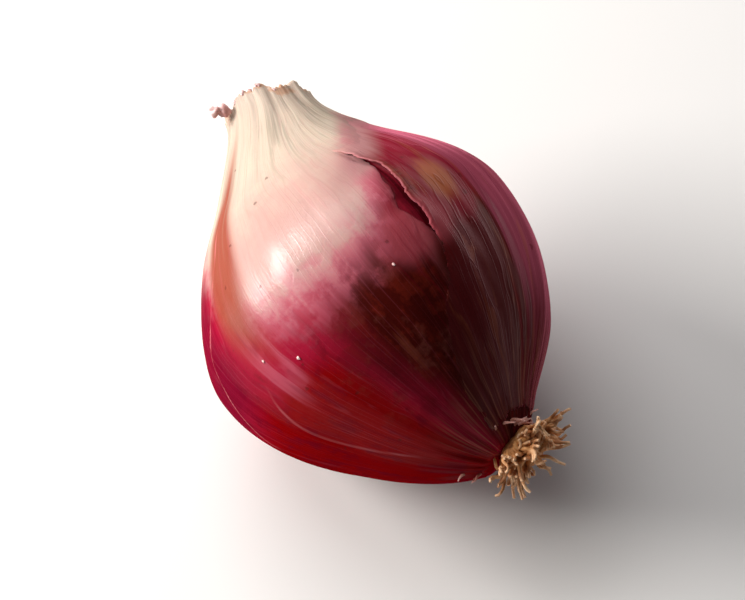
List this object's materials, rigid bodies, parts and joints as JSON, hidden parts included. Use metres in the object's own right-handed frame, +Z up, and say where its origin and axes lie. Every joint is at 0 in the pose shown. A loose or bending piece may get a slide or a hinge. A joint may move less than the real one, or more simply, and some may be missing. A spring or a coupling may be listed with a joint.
{
  "type": "shallot",
  "caption": "Small red-skinned shallot lying on its side: round bulb drawn out to a pale dry neck, a torn papery outer skin on one flank, and a tuft of curled dry roots.",
  "frame": {"origin": "middle of the small flat spot that the shallot rests on, below the bulb's widest section", "axes": "+X from the neck to the roots, +Y towards the side with the torn outer skin, +Z up"},
  "size_m": [0.0505, 0.0349, 0.035],
  "materials": {
    "bulb_skin": null,
    "papery_skin": null,
    "dry_leaf": null,
    "dry_root": null
  },
  "bodies": {
    "root": {"bulb": "bulb_skin", "outer_skin": "papery_skin", "dry_neck": "dry_leaf", "root_tuft": "dry_root"}
  },
  "joints": []
}
